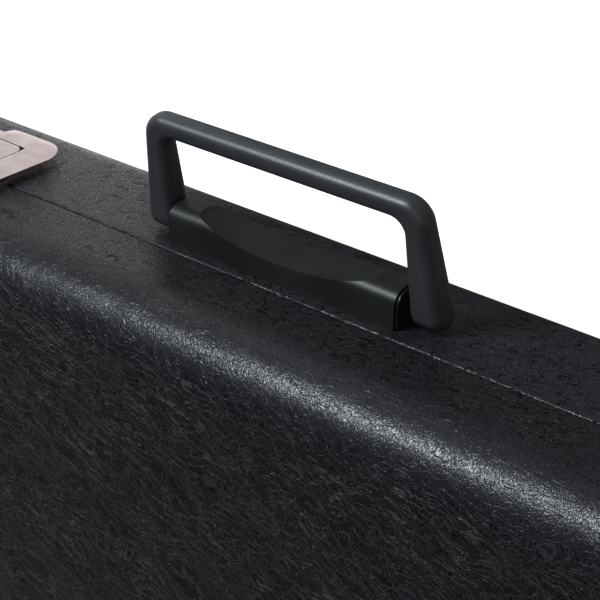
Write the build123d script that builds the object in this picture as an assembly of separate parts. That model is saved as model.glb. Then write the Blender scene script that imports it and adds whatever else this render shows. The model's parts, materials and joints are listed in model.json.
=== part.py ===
from build123d import *
import math
import os

# Hard case for a recorder: a leatherette covered case of two moulded halves, lying flat.
# Millimetres. X runs along the case, -Y is the handle side, +Z is up, and the origin is
# the middle of the bottom face that the case lies on.

# Case halves
CASE_LENGTH = 550.0
CASE_DEPTH = 240.0
BASE_HEIGHT = 60.0
LID_HEIGHT = 44.0
SEAM_GAP = 0.8
PLAN_CORNER = 30.0
BASE_EDGE_RADIUS = 18.0
LID_EDGE_RADIUS = 22.0
RIM_ROUND = 0.9
COVER_THICKNESS = 1.0
BASE_SHELL_THICKNESS = 3.5
LID_SHELL_THICKNESS = 3.0

# Tongue that seals the seam
TONGUE_THICKNESS = 1.8
TONGUE_LOW = 52.0
TONGUE_RISE = 4.5

# Fitted foam insert in the base
INSERT_GAP = 1.4
INSERT_TOP = 50.0
CHANNEL_FLOOR = 10.0

# Lining and pad in the lid
LINING_GAP = 1.2
LINING_THICKNESS = 1.5
LINING_LOW = 66.0
PAD_THICKNESS = 5.0
PAD_INSET = 17.0
PAD_EDGE_ROUND = 2.0

# Handle block: its section is measured from the near face, which is nearest to the seam
HANDLE_X = 7.25
BLOCK_NEAR_Z = 55.1
BLOCK_LENGTH = 110.0
BLOCK_END_STEP = 1.0
BLOCK_FOOT_DEPTH = 17.5
BLOCK_TOP_DEPTH = 14.4
BLOCK_CREST_DEPTH = 9.6
BLOCK_CREST_HEIGHT = 15.5
BLOCK_NEAR_HEIGHT = 14.2
BLOCK_FAR_HEIGHT = 14.7
BLOCK_SHOULDER_ROUND = 6.0
BLOCK_CREST_ROUND = 8.0
BLOCK_FAR_ROUND = 0.9
SCOOP_HALF_SPAN = 39.0
SCOOP_FAR_HEIGHT = 14.9
SCOOP_FAR_DIP = 3.1
SCOOP_NEAR_HEIGHT = 13.6
SCOOP_NEAR_DIP = 5.0
SCOOP_RISE = 1.6
SCOOP_RISE_SPAN = 4.5

# Bail of the handle: halves are measured from its middle to the inner and outer side of a leg
HANDLE_Z = 45.0
BAIL_PIVOT_OUT = 6.9
BAIL_LEAN = 9.4
BAIL_TOP = 45.2
BAR_HEIGHT = 8.8
TOP_INNER_HALF = 55.9
TOP_OUTER_HALF = 64.7
FOOT_INNER_HALF = 56.3
FOOT_OUTER_HALF = 70.2
FOOT_RADIUS = 5.9
BAR_HALF_DEPTH = 4.6
BAIL_OUTER_CORNER = 10.0
BAIL_INNER_CORNER = 5.5
BAIL_EDGE_ROUND = 3.9
LONGEST_BAIL_SEAM = 20.0
BAIL_PIN_RADIUS = 2.5
BAIL_PIN_CLEARANCE = 0.05
BAIL_PIN_IN_BLOCK = 9.0
BAIL_PIN_IN_LEG = 10.5
BUSH_RADIUS = 5.2
BUSH_THICKNESS = 0.6
SCREW_SPREAD = 38.0
SCREW_RADIUS = 2.0
SCREW_HOLE_RADIUS = 2.05
SCREW_REACH = 7.0
SCREW_HEAD_RADIUS = 4.0
SCREW_HEAD_HEIGHT = 1.8
BACKING_LENGTH = 104.0
BACKING_WIDTH = 15.0
BACKING_THICKNESS = 1.2
BACKING_DROP = 3.0

# Latches
LATCH_X = 190.75
HASP_WIDTH = 84.0
HASP_REACH = 34.5
HASP_PIVOT_RISE = 12.0
HASP_PIVOT_OUT = 4.4
HASP_UNDERSIDE = 3.6
HASP_THICKNESS = 1.4
HASP_CORNER = 13.5
HASP_EDGE_ROUND = 0.6
WINDOW_SIDE = 15.5
WINDOW_END = 11.5
WINDOW_HEIGHT = 21.0
WINDOW_BOW = 1.2
WINDOW_TRIM = 0.6
NOTCH_HALF = 5.0
NOTCH_DEPTH = 8.5
NOTCH_MOUTH_ROUND = 2.0
KNUCKLE_RADIUS = 2.2
LATCH_PIN_RADIUS = 1.2
LATCH_PIN_CLEARANCE = 0.05
BUTTON_GAP = 0.6
BUTTON_UNDERSIDE = 4.8
BUTTON_THICKNESS = 1.5
BUTTON_CORNER_ROUND = 1.2
BUTTON_EDGE_ROUND = 0.8
STEM_WIDTH = 8.0
STEM_DEPTH = 4.0
STEM_LOW = 1.7
SPRING_THICKNESS = 0.4
SPRING_WIDTH = 8.0
SPRING_OVERLAP = 4.0
SPRING_CLEARANCE = 0.3
BODY_HEIGHT = 2.8
BODY_SHEET = 0.8
BODY_SIDE_INSET = 1.1
BODY_END_INSET = 2.0
BODY_WALL_INSET = 1.6
BODY_SEAM_INSET = 0.3
BODY_POST_RADIUS = 0.6
BODY_POST_DROP = 15.0
BODY_RIVET_SPREAD = 35.0
BODY_RIVET_HEIGHTS = (37.5, 46.5)
SLOT_WIDTH = 12.0
BLOCK_PLATE = 1.0
BLOCK_SIDE_INSET = 0.4
BLOCK_RIVET_RISE = 16.4
BLOCK_RIVET_SPREAD = 30.0
BLOCK_TOP_RISE = 19.0
BLOCK_PAD_RISE = 6.5
EAR_WIDTH = 4.0
EAR_CLEARANCE = 0.4

# Hinges
HINGE_X = 165.0
HINGE_LENGTH = 60.0
HINGE_KNUCKLE = 3.2
HINGE_AXIS_OUT = 3.6
HINGE_PIN_RADIUS = 1.5
HINGE_PIN_CLEARANCE = 0.05
LEAF_THICKNESS = 1.2
LEAF_HEIGHT = 17.0
LEAF_CLEARANCE = 0.4
LEAF_CORNER = 3.0
LEAF_RIVET_DROP = 11.5
LEAF_RIVET_SPREAD = 22.0
KNUCKLE_COUNT = 5
KNUCKLE_GAP = 0.3

# Rivets
RIVET_RADIUS = 1.6
RIVET_HOLE_CLEARANCE = 0.05
RIVET_HEAD_RADIUS = 2.6
RIVET_HEAD_HEIGHT = 0.5
RIVET_TAIL_RADIUS = 3.0
RIVET_TAIL_HEIGHT = 0.8

# Accessory compartment
POCKET_X = 112.0
POCKET_Y = 66.0
POCKET_LENGTH = 250.0
POCKET_DEPTH = 66.0
POCKET_FLOOR = 12.0
TRAY_GAP = 0.3
TRAY_WALL = 2.5
SHELF_PLACE = 29.0
SHELF_DROP = 0.4
FLAP_DEPTH = 32.0
FLAP_THICKNESS = 3.2
FLAP_GAP = 0.6
FLAP_PIN_RADIUS = 0.8
FLAP_PIN_CLEARANCE = 0.05
FLAP_PIN_IN_WALL = 2.0
FLAP_PIN_IN_FLAP = 8.0
TAB_WIDTH = 12.0
TAB_LENGTH = 14.0
TAB_PLACE = 3.0
TAB_THICKNESS = 0.8

SEAM_Z = BASE_HEIGHT
BASE_TOP = SEAM_Z - SEAM_GAP / 2
LID_LOW = SEAM_Z + SEAM_GAP / 2
CASE_TOP = BASE_HEIGHT + LID_HEIGHT
FRONT_Y = -CASE_DEPTH / 2
BACK_Y = CASE_DEPTH / 2
BASE_WALL = COVER_THICKNESS + BASE_SHELL_THICKNESS
LID_WALL = COVER_THICKNESS + LID_SHELL_THICKNESS
HINGE_AXIS_Y = BACK_Y + HINGE_AXIS_OUT
PIVOT_Z = SEAM_Z + HASP_PIVOT_RISE
HASP_LOW_Z = SEAM_Z - HASP_REACH
WINDOW_Z = HASP_LOW_Z + WINDOW_END + WINDOW_HEIGHT / 2


def save(shape, name):
    export_step(shape, f"parts/{name}.step")


def rounded_prism(inset, low, high):
    """Upright prism of the case's plan, drawn in by inset."""
    plan = RectangleRounded(CASE_LENGTH - 2 * inset, CASE_DEPTH - 2 * inset, PLAN_CORNER - inset)
    return extrude(Plane.XY.offset(low) * plan, high - low)


def base_form(inset, low, high):
    """Solid of the base, drawn in by inset, with its bottom edge rounded."""
    solid = rounded_prism(inset, low, high)
    return fillet(solid.edges().group_by(Axis.Z)[0], BASE_EDGE_RADIUS - inset)


def lid_form(inset, low, high):
    """Solid of the lid, drawn in by inset, with its top edge rounded."""
    solid = rounded_prism(inset, low, high)
    return fillet(solid.edges().group_by(Axis.Z)[-1], LID_EDGE_RADIUS - inset)


def rod(start, direction, radius, length):
    """Round rod from a start point along a direction."""
    return Plane(origin=start, z_dir=direction) * extrude(Circle(radius), length)


def brick(low, high):
    """Box between two corners."""
    size = [b - a for a, b in zip(low, high)]
    return Pos(*low) * Box(*size, align=(Align.MIN, Align.MIN, Align.MIN))


def front_face(x, z, out=0.0):
    """Plane on the handle side, seen from outside: local x along X, local y along Z."""
    return Plane(origin=(x, FRONT_Y - out, z), x_dir=(1, 0, 0), z_dir=(0, -1, 0))


def side_face(x, z):
    """Plane across the case at x: local x along Z, local y out of the handle side."""
    return Plane(origin=(x, FRONT_Y, z), x_dir=(0, 0, 1), z_dir=(1, 0, 0))


def rivet(x, y, z, outward, grip, wall):
    """Rivet on the front or back: a low head outside, a shank, and a tail inside the wall.

    outward is -1 on the handle side and 1 on the hinge side; y is the surface under the head.
    """
    inward = (0, -outward, 0)
    head = rod((x, y + outward * RIVET_HEAD_HEIGHT, z), inward, RIVET_HEAD_RADIUS, RIVET_HEAD_HEIGHT)
    shank = rod((x, y, z), inward, RIVET_RADIUS, grip + wall)
    tail = rod((x, y - outward * (grip + wall), z), inward, RIVET_TAIL_RADIUS, RIVET_TAIL_HEIGHT)
    return head + shank + tail


def rivet_hole(x, z, outward):
    """Clearance hole right through a wall and the metal on it."""
    start = (x, outward * (CASE_DEPTH / 2 + 10), z)
    return rod(start, (0, -outward, 0), RIVET_RADIUS + RIVET_HOLE_CLEARANCE, 25)


# Places of the rivets and screws
BODY_RIVETS = [
    (side * LATCH_X + dx, z)
    for side in (-1, 1)
    for dx in (-BODY_RIVET_SPREAD, BODY_RIVET_SPREAD)
    for z in BODY_RIVET_HEIGHTS
]
BLOCK_RIVETS = [
    (side * LATCH_X + dx, SEAM_Z + BLOCK_RIVET_RISE)
    for side in (-1, 1)
    for dx in (-BLOCK_RIVET_SPREAD, 0, BLOCK_RIVET_SPREAD)
]
HINGE_RIVET_XS = [
    side * HINGE_X + dx
    for side in (-1, 1)
    for dx in (-LEAF_RIVET_SPREAD, 0, LEAF_RIVET_SPREAD)
]
FRONT_BASE_HOLES = [rivet_hole(x, z, -1) for x, z in BODY_RIVETS]
FRONT_LID_HOLES = [rivet_hole(x, z, -1) for x, z in BLOCK_RIVETS]
BACK_BASE_HOLES = [rivet_hole(x, SEAM_Z - LEAF_RIVET_DROP, 1) for x in HINGE_RIVET_XS]
BACK_LID_HOLES = [rivet_hole(x, SEAM_Z + LEAF_RIVET_DROP, 1) for x in HINGE_RIVET_XS]
SCREW_XS = [HANDLE_X - SCREW_SPREAD, HANDLE_X + SCREW_SPREAD]
SCREW_START_Y = FRONT_Y - SCREW_REACH - 0.2
SCREW_HOLES = [rod((x, SCREW_START_Y, HANDLE_Z), (0, 1, 0), SCREW_HOLE_RADIUS, 20) for x in SCREW_XS]


def without(solid, cutters):
    for cutter in cutters:
        solid = solid - cutter
    return solid


# Channels of the insert: middle x, middle y, length, width
CHANNELS = [(0.0, -76.0, 488.0, 54.0), (0.0, -8.0, 488.0, 54.0), (-142.0, 66.0, 204.0, 66.0)]


def make_base():
    inner = base_form(BASE_WALL, BASE_WALL, SEAM_Z + 5)
    core = base_form(COVER_THICKNESS, COVER_THICKNESS, BASE_TOP - COVER_THICKNESS)
    outer = base_form(0, 0, BASE_TOP)
    outer = fillet(outer.edges().group_by(Axis.Z)[-1], RIM_ROUND)
    holes = FRONT_BASE_HOLES + BACK_BASE_HOLES + SCREW_HOLES
    save(without(outer - core - inner, holes), "base_cover")
    save(without(core - inner, holes), "base_shell")
    ring = rounded_prism(BASE_WALL, TONGUE_LOW, SEAM_Z + TONGUE_RISE)
    ring = ring - rounded_prism(BASE_WALL + TONGUE_THICKNESS, TONGUE_LOW, SEAM_Z + TONGUE_RISE)
    save(ring, "rim_tongue")


def channel(x, y, length, width):
    """Space of one long channel: straight sides and a half-round floor."""
    radius = width / 2
    profile = Pos(0, INSERT_TOP - CHANNEL_FLOOR) * Rectangle(width, 2 * (INSERT_TOP - CHANNEL_FLOOR - radius))
    profile += Pos(0, radius) * Circle(radius)
    plane = Plane(origin=(x - length / 2, y, CHANNEL_FLOOR), x_dir=(0, 1, 0), z_dir=(1, 0, 0))
    return extrude(plane * profile, length)


def make_insert():
    wall = BASE_WALL + INSERT_GAP
    block = rounded_prism(wall, BASE_WALL, INSERT_TOP)
    block = fillet(block.edges().group_by(Axis.Z)[0], BASE_EDGE_RADIUS - BASE_WALL)
    for x, y, length, width in CHANNELS:
        block = block - channel(x, y, length, width)
    half_length = POCKET_LENGTH / 2
    half_depth = POCKET_DEPTH / 2
    block = block - brick(
        (POCKET_X - half_length, POCKET_Y - half_depth, POCKET_FLOOR),
        (POCKET_X + half_length, POCKET_Y + half_depth, INSERT_TOP + 1),
    )
    half_screws = SCREW_SPREAD + SCREW_HEAD_RADIUS + 2
    screws_y = FRONT_Y + BASE_WALL + BACKING_THICKNESS + SCREW_HEAD_HEIGHT + 0.4
    block = block - brick(
        (HANDLE_X - half_screws, FRONT_Y + BASE_WALL, HANDLE_Z - SCREW_HEAD_RADIUS - 1),
        (HANDLE_X + half_screws, screws_y, INSERT_TOP + 1),
    )
    save(block, "base_insert")


def make_compartment():
    """Box in the accessory pocket, and the flap that closes it, turning on two pins."""
    low_x = POCKET_X - POCKET_LENGTH / 2 + TRAY_GAP
    high_x = POCKET_X + POCKET_LENGTH / 2 - TRAY_GAP
    low_y = POCKET_Y - POCKET_DEPTH / 2 + TRAY_GAP
    high_y = POCKET_Y + POCKET_DEPTH / 2 - TRAY_GAP
    floor = POCKET_FLOOR + TRAY_WALL
    inner_low_x = low_x + TRAY_WALL
    inner_high_x = high_x - TRAY_WALL
    tray = brick((low_x, low_y, POCKET_FLOOR), (high_x, high_y, INSERT_TOP))
    tray = tray - brick(
        (inner_low_x, low_y + TRAY_WALL, floor),
        (inner_high_x, high_y - TRAY_WALL, INSERT_TOP + 1),
    )
    shelf_y = low_y + TRAY_WALL + SHELF_PLACE
    shelf_top = INSERT_TOP - FLAP_THICKNESS - SHELF_DROP
    tray = tray + brick((inner_low_x, shelf_y, floor), (inner_high_x, shelf_y + TRAY_WALL, shelf_top))

    edge_round = FLAP_THICKNESS / 2
    pivot_y = low_y + TRAY_WALL + FLAP_GAP + edge_round
    pivot_z = INSERT_TOP - edge_round
    flap_low_x = inner_low_x + FLAP_GAP
    flap_high_x = inner_high_x - FLAP_GAP
    flap = brick(
        (flap_low_x, pivot_y, INSERT_TOP - FLAP_THICKNESS),
        (flap_high_x, pivot_y - edge_round + FLAP_DEPTH, INSERT_TOP),
    )
    flap = flap + rod((flap_low_x, pivot_y, pivot_z), (1, 0, 0), edge_round, flap_high_x - flap_low_x)
    pins = []
    for wall_x, inward in ((inner_low_x, 1), (inner_high_x, -1)):
        start = (wall_x - inward * FLAP_PIN_IN_WALL, pivot_y, pivot_z)
        length = FLAP_PIN_IN_WALL + FLAP_GAP + FLAP_PIN_IN_FLAP
        pin = rod(start, (inward, 0, 0), FLAP_PIN_RADIUS, length)
        bore = rod(start, (inward, 0, 0), FLAP_PIN_RADIUS + FLAP_PIN_CLEARANCE, length + FLAP_PIN_CLEARANCE)
        pins.append(pin)
        tray = tray - pin
        flap = flap - bore
    save(tray, "compartment_tray")
    save(flap, "compartment_flap")
    save(Compound(pins), "flap_pins")
    tab_high_y = pivot_y - edge_round + FLAP_DEPTH - TAB_PLACE
    tab = brick(
        (POCKET_X - TAB_WIDTH / 2, tab_high_y - TAB_LENGTH, INSERT_TOP),
        (POCKET_X + TAB_WIDTH / 2, tab_high_y, INSERT_TOP + TAB_THICKNESS),
    )
    save(tab, "flap_tab")


def make_lid():
    inner = lid_form(LID_WALL, LID_LOW - 5, CASE_TOP - LID_WALL)
    core = lid_form(COVER_THICKNESS, LID_LOW + COVER_THICKNESS, CASE_TOP - COVER_THICKNESS)
    outer = lid_form(0, LID_LOW, CASE_TOP)
    outer = fillet(outer.edges().group_by(Axis.Z)[0], RIM_ROUND)
    holes = FRONT_LID_HOLES + BACK_LID_HOLES
    save(without(outer - core - inner, holes), "lid_cover")
    save(without(core - inner, holes), "lid_shell")
    lining_wall = LID_WALL + LINING_GAP
    lining_top = CASE_TOP - LID_WALL
    lining = lid_form(lining_wall, LINING_LOW, lining_top)
    hollow = lid_form(lining_wall + LINING_THICKNESS, LINING_LOW - 5, lining_top - LINING_THICKNESS)
    save(lining - hollow, "lid_lining")
    pad_top = lining_top - LINING_THICKNESS
    pad = rounded_prism(lining_wall + PAD_INSET, pad_top - PAD_THICKNESS, pad_top)
    pad = fillet(pad.edges().group_by(Axis.Z)[0], PAD_EDGE_ROUND)
    save(pad, "lid_pad")


def block_section(inset):
    """Section of the handle block, drawn in by inset: local x away from the seam side, local y outwards."""
    corners = [
        (0, 0), (0, BLOCK_NEAR_HEIGHT), (BLOCK_CREST_DEPTH, BLOCK_CREST_HEIGHT),
        (BLOCK_TOP_DEPTH, BLOCK_FAR_HEIGHT), (BLOCK_FOOT_DEPTH, 0),
    ]
    section = Polygon(*corners, align=None)
    rounds = (BLOCK_SHOULDER_ROUND, BLOCK_CREST_ROUND, BLOCK_FAR_ROUND)
    for (x, y), radius in zip(corners[1:4], rounds):
        vertex = [v for v in section.vertices() if abs(v.X - x) < 0.01 and abs(v.Y - y) < 0.01]
        section = fillet(vertex, radius)
    if inset:
        section = offset(section, -inset)
    return section


def scoop_face(depth):
    """Section of the space over the finger scoop, at a depth behind the near face."""
    share = depth / BLOCK_TOP_DEPTH
    level = SCOOP_NEAR_HEIGHT + share * (SCOOP_FAR_HEIGHT - SCOOP_NEAR_HEIGHT)
    dip = SCOOP_NEAR_DIP + share * (SCOOP_FAR_DIP - SCOOP_NEAR_DIP)
    half = SCOOP_HALF_SPAN
    end = half + SCOOP_RISE_SPAN
    hollow = ThreePointArc((-half, level), (0, level - dip), (half, level))
    over = Polyline(
        (half, level), (end, level + SCOOP_RISE), (end, 2 * BLOCK_CREST_HEIGHT),
        (-end, 2 * BLOCK_CREST_HEIGHT), (-end, level + SCOOP_RISE), (-half, level),
    )
    plane = Plane(origin=(HANDLE_X, FRONT_Y, BLOCK_NEAR_Z - depth), x_dir=(1, 0, 0), z_dir=(0, 0, 1))
    return mirror(plane * make_face([*hollow.edges(), *over.edges()]), Plane.XZ.offset(-FRONT_Y))


def make_handle_block():
    """Block between the bail's legs, with a finger scoop along its top."""
    half = BLOCK_LENGTH / 2
    middle = Plane(origin=(HANDLE_X, FRONT_Y, BLOCK_NEAR_Z), x_dir=(0, 0, -1), z_dir=(-1, 0, 0))
    solid = extrude(middle * block_section(0), half - BLOCK_END_STEP, both=True)
    solid = solid + extrude(middle * block_section(BLOCK_END_STEP), half, both=True)
    solid = solid - loft([scoop_face(-2.0), scoop_face(BLOCK_FOOT_DEPTH + 2)], ruled=True)
    solid = without(solid, SCREW_HOLES)
    for side in (-1, 1):
        start = (HANDLE_X + side * (half - BAIL_PIN_IN_BLOCK), FRONT_Y - BAIL_PIVOT_OUT, HANDLE_Z)
        solid = solid - rod(start, (side, 0, 0), BAIL_PIN_RADIUS, BAIL_PIN_IN_BLOCK + 2)
    save(solid, "handle_block")


def bail_plane():
    """Plane of the leaning bail: local x along X, local y up the legs."""
    lean = math.radians(BAIL_LEAN)
    return Plane(
        origin=(HANDLE_X, FRONT_Y - BAIL_PIVOT_OUT, HANDLE_Z),
        x_dir=(1, 0, 0),
        z_dir=(0, -math.sin(lean), -math.cos(lean)),
    )


def make_bail():
    bottom = -2 * FOOT_RADIUS
    slope_out = (FOOT_OUTER_HALF - TOP_OUTER_HALF) / BAIL_TOP
    slope_in = (FOOT_INNER_HALF - TOP_INNER_HALF) / BAIL_TOP
    low_out = FOOT_OUTER_HALF - slope_out * bottom
    low_in = FOOT_INNER_HALF - slope_in * bottom
    outer = Polygon(
        (-low_out, bottom), (-TOP_OUTER_HALF, BAIL_TOP), (TOP_OUTER_HALF, BAIL_TOP), (low_out, bottom),
        align=None,
    )
    outer = fillet(outer.vertices().group_by(Axis.Y)[-1], BAIL_OUTER_CORNER)
    inner_top = BAIL_TOP - BAR_HEIGHT
    inner = Polygon(
        (-low_in, bottom), (-TOP_INNER_HALF, inner_top), (TOP_INNER_HALF, inner_top), (low_in, bottom),
        align=None,
    )
    inner = fillet(inner.vertices().group_by(Axis.Y)[-1], BAIL_INNER_CORNER)
    plane = bail_plane()
    front = extrude(plane * (outer - inner), 2 * FOOT_RADIUS, both=True)
    bar_end = Pos(BAIL_TOP, 0) * Circle(BAR_HALF_DEPTH)
    side_view = make_hull([*Circle(FOOT_RADIUS).edges(), *bar_end.edges()])
    across = Plane(origin=plane.origin, x_dir=plane.y_dir, z_dir=(1, 0, 0))
    side = extrude(across * side_view, 2 * FOOT_OUTER_HALF, both=True)
    solid = front & side
    sharp = [e for e in solid.edges() if e.geom_type != GeomType.LINE or e.length > LONGEST_BAIL_SEAM]
    return fillet(sharp, BAIL_EDGE_ROUND)


def make_handle():
    make_handle_block()
    pivot_y = FRONT_Y - BAIL_PIVOT_OUT
    half_block = BLOCK_LENGTH / 2
    pin_length = BAIL_PIN_IN_BLOCK + BAIL_PIN_IN_LEG
    bail = make_bail()
    pins = []
    bushes = []
    for side in (-1, 1):
        start = (HANDLE_X + side * (half_block - BAIL_PIN_IN_BLOCK), pivot_y, HANDLE_Z)
        pins.append(rod(start, (side, 0, 0), BAIL_PIN_RADIUS, pin_length))
        bore = rod(start, (side, 0, 0), BAIL_PIN_RADIUS + BAIL_PIN_CLEARANCE, pin_length + BAIL_PIN_CLEARANCE)
        bail = bail - bore
        ring = Circle(BUSH_RADIUS) - Circle(BAIL_PIN_RADIUS)
        face = Plane(origin=(HANDLE_X + side * half_block, pivot_y, HANDLE_Z), z_dir=(side, 0, 0))
        bushes.append(extrude(face * ring, BUSH_THICKNESS))
    save(bail, "handle_bail")
    save(Compound(pins), "bail_pins")
    save(Compound(bushes), "bail_bushes")
    inside = FRONT_Y + BASE_WALL
    backing_z = HANDLE_Z - BACKING_DROP
    plate = brick(
        (HANDLE_X - BACKING_LENGTH / 2, inside, backing_z - BACKING_WIDTH / 2),
        (HANDLE_X + BACKING_LENGTH / 2, inside + BACKING_THICKNESS, backing_z + BACKING_WIDTH / 2),
    )
    save(without(plate, SCREW_HOLES), "handle_backing_plate")
    head_y = inside + BACKING_THICKNESS
    screws = []
    for x in SCREW_XS:
        shank = rod((x, head_y, HANDLE_Z), (0, -1, 0), SCREW_RADIUS, head_y - FRONT_Y + SCREW_REACH)
        head = rod((x, head_y, HANDLE_Z), (0, 1, 0), SCREW_HEAD_RADIUS, SCREW_HEAD_HEIGHT)
        screws.append(shank + head)
    save(Compound(screws), "handle_screws")


def bowed_window(gap):
    """Four-cornered opening whose sides bow outwards, drawn in by a gap."""
    half_width = HASP_WIDTH / 2 - WINDOW_SIDE - WINDOW_TRIM - gap
    half_height = WINDOW_HEIGHT / 2 - WINDOW_BOW - gap
    side_bow = half_width + WINDOW_BOW / 2
    end_bow = half_height + WINDOW_BOW
    corners = [
        (-half_width, -half_height), (half_width, -half_height),
        (half_width, half_height), (-half_width, half_height),
    ]
    middles = [(0, -end_bow), (side_bow, 0), (0, end_bow), (-side_bow, 0)]
    edges = []
    for index, corner in enumerate(corners):
        edges += ThreePointArc(corner, middles[index], corners[(index + 1) % 4]).edges()
    return make_face(edges)


def hasp_plate():
    """Flat outline of the hasp from its low end up to its pivot, with the thumb notch in the low end."""
    plate = Rectangle(HASP_WIDTH, HASP_REACH + HASP_PIVOT_RISE, align=(Align.CENTER, Align.MIN))
    plate = fillet(plate.vertices().group_by(Axis.Y)[0], HASP_CORNER)
    notch = Pos(0, NOTCH_DEPTH - NOTCH_HALF) * Circle(NOTCH_HALF)
    notch += Rectangle(2 * NOTCH_HALF, 2 * (NOTCH_DEPTH - NOTCH_HALF))
    plate = plate - notch
    mouth = [v for v in plate.vertices() if abs(v.X) < NOTCH_HALF + 1 and v.Y < 1]
    return fillet(mouth, NOTCH_MOUTH_ROUND)


def make_hasp(x, word):
    """Plate with a window that turns on the latch pin, with its knuckle between the block's ears."""
    half = HASP_WIDTH / 2
    hasp = extrude(front_face(x, HASP_LOW_Z, HASP_UNDERSIDE) * hasp_plate(), HASP_THICKNESS)
    hasp = fillet(hasp.edges().group_by(Axis.Y)[0], HASP_EDGE_ROUND)
    hasp = hasp - extrude(front_face(x, WINDOW_Z) * bowed_window(0), 10)
    plate_top = PIVOT_Z - KNUCKLE_RADIUS - EAR_CLEARANCE
    hasp = hasp - brick((x - half - 1, FRONT_Y - 10, plate_top), (x + half + 1, FRONT_Y, PIVOT_Z + 10))
    knuckle_half = half - EAR_WIDTH - EAR_CLEARANCE
    pivot = (x - knuckle_half, FRONT_Y - HASP_PIVOT_OUT, PIVOT_Z)
    knuckle = rod(pivot, (1, 0, 0), KNUCKLE_RADIUS, 2 * knuckle_half)
    web = brick(
        (x - knuckle_half, FRONT_Y - HASP_UNDERSIDE - HASP_THICKNESS, plate_top - EAR_CLEARANCE),
        (x + knuckle_half, FRONT_Y - HASP_UNDERSIDE, PIVOT_Z),
    )
    hasp = hasp + web + knuckle
    bore_start = (x - half, FRONT_Y - HASP_PIVOT_OUT, PIVOT_Z)
    hasp = hasp - rod(bore_start, (1, 0, 0), LATCH_PIN_RADIUS + LATCH_PIN_CLEARANCE, HASP_WIDTH)
    save(hasp, f"latch_hasp_{word}")


def make_button(x, word):
    """Pad in the hasp's window with a stem under it, and the flat spring that carries it."""
    pad = fillet(bowed_window(BUTTON_GAP).vertices(), BUTTON_CORNER_ROUND)
    pad = extrude(front_face(x, WINDOW_Z, BUTTON_UNDERSIDE) * pad, BUTTON_THICKNESS)
    pad = fillet(pad.edges().group_by(Axis.Y)[0], BUTTON_EDGE_ROUND)
    stem = brick(
        (x - STEM_WIDTH / 2, FRONT_Y - BUTTON_UNDERSIDE, WINDOW_Z - STEM_DEPTH / 2),
        (x + STEM_WIDTH / 2, FRONT_Y - STEM_LOW, WINDOW_Z + STEM_DEPTH / 2),
    )
    save(pad + stem, f"latch_button_{word}")

    half_spring = HASP_WIDTH / 2 - WINDOW_SIDE + SPRING_OVERLAP
    spring = brick(
        (x - half_spring, FRONT_Y - HASP_UNDERSIDE, WINDOW_Z - SPRING_WIDTH / 2),
        (x + half_spring, FRONT_Y - HASP_UNDERSIDE + SPRING_THICKNESS, WINDOW_Z + SPRING_WIDTH / 2),
    )
    half_hole = STEM_WIDTH / 2 + SPRING_CLEARANCE
    half_hole_depth = STEM_DEPTH / 2 + SPRING_CLEARANCE
    spring = spring - brick(
        (x - half_hole, FRONT_Y - 6, WINDOW_Z - half_hole_depth),
        (x + half_hole, FRONT_Y, WINDOW_Z + half_hole_depth),
    )
    save(spring, f"button_spring_{word}")


def make_latch_body(x, word):
    """Sheet metal body under the hasp: a flat top that stands out over walls set back under its edge."""
    low_z = HASP_LOW_Z + BODY_END_INSET
    high_z = SEAM_Z - BODY_SEAM_INSET
    plane = front_face(x, low_z)
    top_plan = Rectangle(HASP_WIDTH - 2 * BODY_SIDE_INSET, high_z - low_z, align=(Align.CENTER, Align.MIN))
    top_plan = fillet(top_plan.vertices().group_by(Axis.Y)[0], HASP_CORNER - BODY_END_INSET)
    wall_plan = offset(top_plan, -BODY_WALL_INSET)
    hollow_plan = offset(top_plan, -BODY_WALL_INSET - BODY_SHEET)
    wall_height = BODY_HEIGHT - BODY_SHEET
    body = extrude(plane * (wall_plan - hollow_plan), wall_height)
    body = body + extrude(front_face(x, low_z, wall_height) * top_plan, BODY_SHEET)
    for post_x in (x - HASP_WIDTH / 2, x + HASP_WIDTH / 2):
        inward = BODY_SIDE_INSET + BODY_WALL_INSET
        post_x += inward if post_x < x else -inward
        post = rod((post_x, FRONT_Y, SEAM_Z - BODY_POST_DROP), (0, -1, 0), BODY_POST_RADIUS, wall_height)
        body = body + post
    half_slot = SLOT_WIDTH / 2
    slot_low = WINDOW_Z - STEM_DEPTH / 2 - 2
    body = body - brick((x - half_slot, FRONT_Y - 6, slot_low), (x + half_slot, FRONT_Y + 1, SEAM_Z))
    save(without(body, FRONT_BASE_HOLES), f"latch_body_{word}")


def make_hinge_block(x, word):
    """Block on the lid that carries the latch pin in two ears."""
    half = HASP_WIDTH / 2
    half_block = half - BLOCK_SIDE_INSET
    low_z = SEAM_Z + BODY_SEAM_INSET
    block = brick(
        (x - half_block, FRONT_Y - BLOCK_PLATE, low_z),
        (x + half_block, FRONT_Y, SEAM_Z + BLOCK_TOP_RISE),
    )
    block = block + brick(
        (x - half_block, FRONT_Y - BODY_HEIGHT, low_z),
        (x + half_block, FRONT_Y, SEAM_Z + BLOCK_PAD_RISE),
    )
    for ear_low in (x - half, x + half - EAR_WIDTH):
        ear_start = (ear_low, FRONT_Y - HASP_PIVOT_OUT, PIVOT_Z)
        block = block + rod(ear_start, (1, 0, 0), KNUCKLE_RADIUS, EAR_WIDTH)
        block = block + brick(
            (ear_low, FRONT_Y - HASP_PIVOT_OUT, PIVOT_Z - KNUCKLE_RADIUS),
            (ear_low + EAR_WIDTH, FRONT_Y, PIVOT_Z + KNUCKLE_RADIUS),
        )
    pin = rod((x - half, FRONT_Y - HASP_PIVOT_OUT, PIVOT_Z), (1, 0, 0), LATCH_PIN_RADIUS, HASP_WIDTH)
    block = block - pin
    save(without(block, FRONT_LID_HOLES), f"latch_hinge_block_{word}")
    save(pin, f"latch_pin_{word}")


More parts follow.
